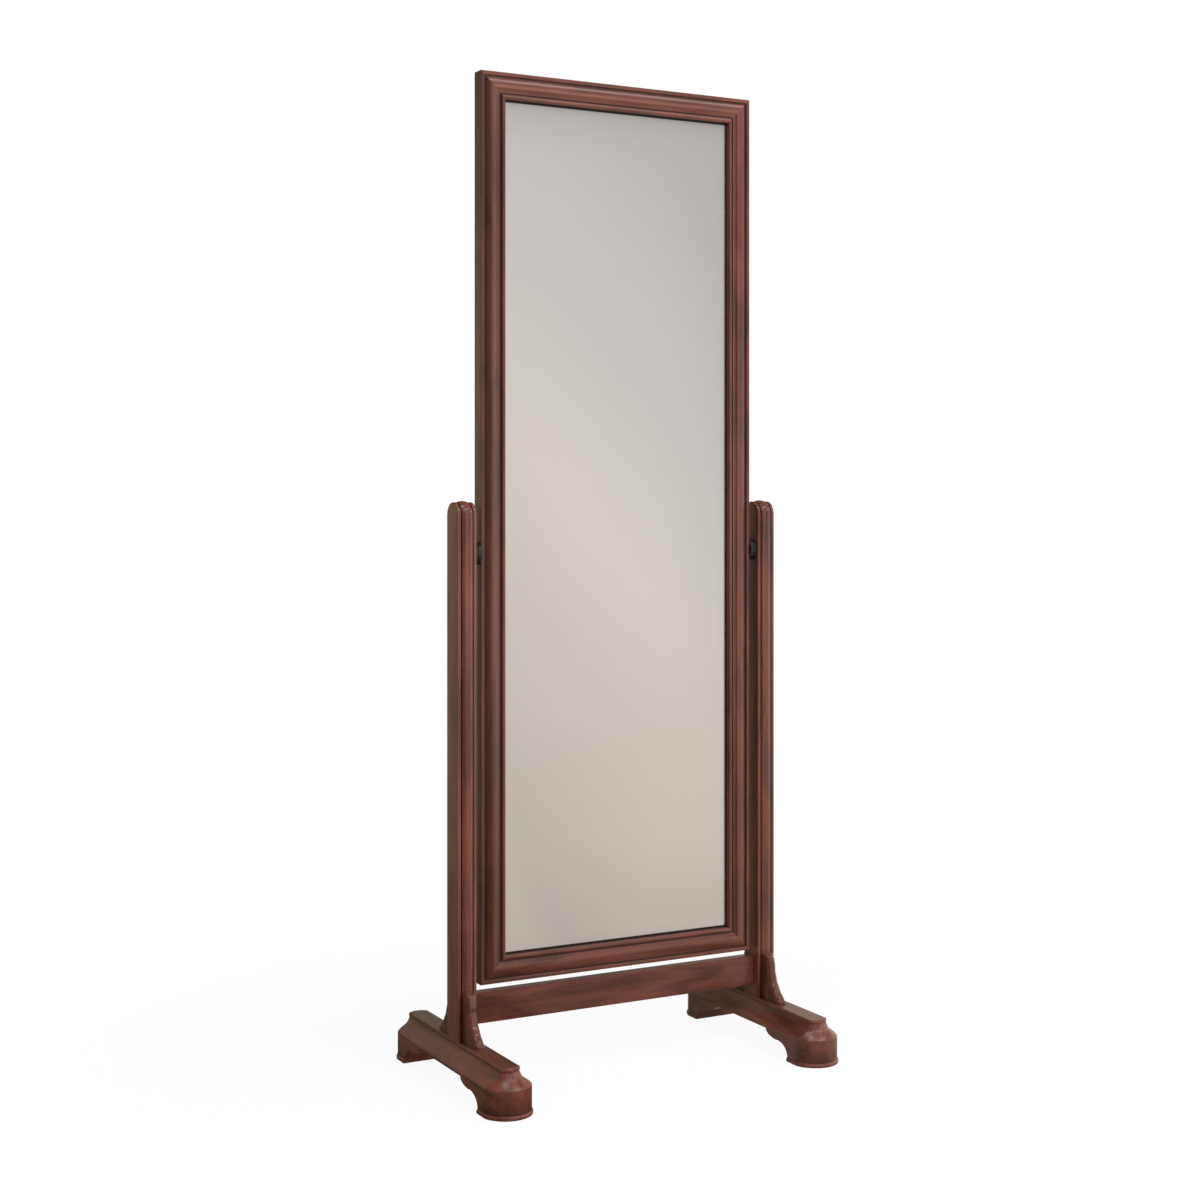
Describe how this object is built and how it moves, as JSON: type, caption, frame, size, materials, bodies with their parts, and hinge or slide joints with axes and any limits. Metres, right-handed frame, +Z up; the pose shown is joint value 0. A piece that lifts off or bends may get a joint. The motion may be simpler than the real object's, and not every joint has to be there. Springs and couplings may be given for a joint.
{
  "type": "cheval mirror",
  "caption": "Full-length mirror in a moulded wooden frame that tilts between two posts, joined by a stretcher and standing on moulded feet with arched undersides.",
  "frame": {"origin": "on the floor, under the middle of the mirror and midway between the feet", "axes": "+X to the right of someone facing the glass, along the tilt axis; +Y to the back; +Z up"},
  "size_m": [0.7174, 0.4588, 1.8],
  "materials": {
    "mahogany": "red-brown stained hardwood under satin lacquer",
    "beech": "plain turned or sawn beech, glued in",
    "hardboard": "pressed brown fibreboard with a smooth face",
    "silvered_glass": "clear float glass, silvered and painted behind",
    "zinc_steel": "zinc-plated steel",
    "brass": "plain turned brass",
    "black_nylon": "black moulded nylon",
    "fibre": "dark vulcanised fibre",
    "felt": "dense dark felt",
    "rubber": "black rubber"
  },
  "bodies": {
    "stand": {"left_foot": "mahogany", "right_foot": "mahogany", "left_foot_cap": "mahogany", "right_foot_cap": "mahogany", "left_foot_glides": "felt", "right_foot_glides": "felt", "left_post": "mahogany", "right_post": "mahogany", "left_front_bracket": "mahogany", "left_rear_bracket": "mahogany", "right_front_bracket": "mahogany", "right_rear_bracket": "mahogany", "bracket_dowels": "beech", "stretcher": "mahogany", "stretcher_dowels": "beech", "foot_bolts": "zinc_steel", "foot_bolt_washers": "zinc_steel", "post_inserts": "brass", "left_pivot_bush": "black_nylon", "right_pivot_bush": "black_nylon", "left_friction_washer": "fibre", "right_friction_washer": "fibre"},
    "mirror": {"left_disc_spring": "zinc_steel", "right_disc_spring": "zinc_steel", "left_pivot_disc": "black_nylon", "right_pivot_disc": "black_nylon", "left_pivot_stud": "zinc_steel", "right_pivot_stud": "zinc_steel", "left_stud_insert": "brass", "right_stud_insert": "brass", "frame_left_stile": "mahogany", "frame_right_stile": "mahogany", "frame_top_rail": "mahogany", "frame_bottom_rail": "mahogany", "frame_corner_keys": "beech", "mirror_glass": "silvered_glass", "glass_setting_blocks": "rubber", "backing_board": "hardboard", "left_batten": "mahogany", "right_batten": "mahogany", "top_batten": "mahogany", "bottom_batten": "mahogany", "batten_screws": "brass"}
  },
  "joints": [
    {"name": "mirror_tilt", "type": "hinge", "parent": "stand", "child": "mirror", "pos_m": [0, 0, 0.941], "axis": [1, 0, 0], "range_deg": [-45, 45]}
  ]
}
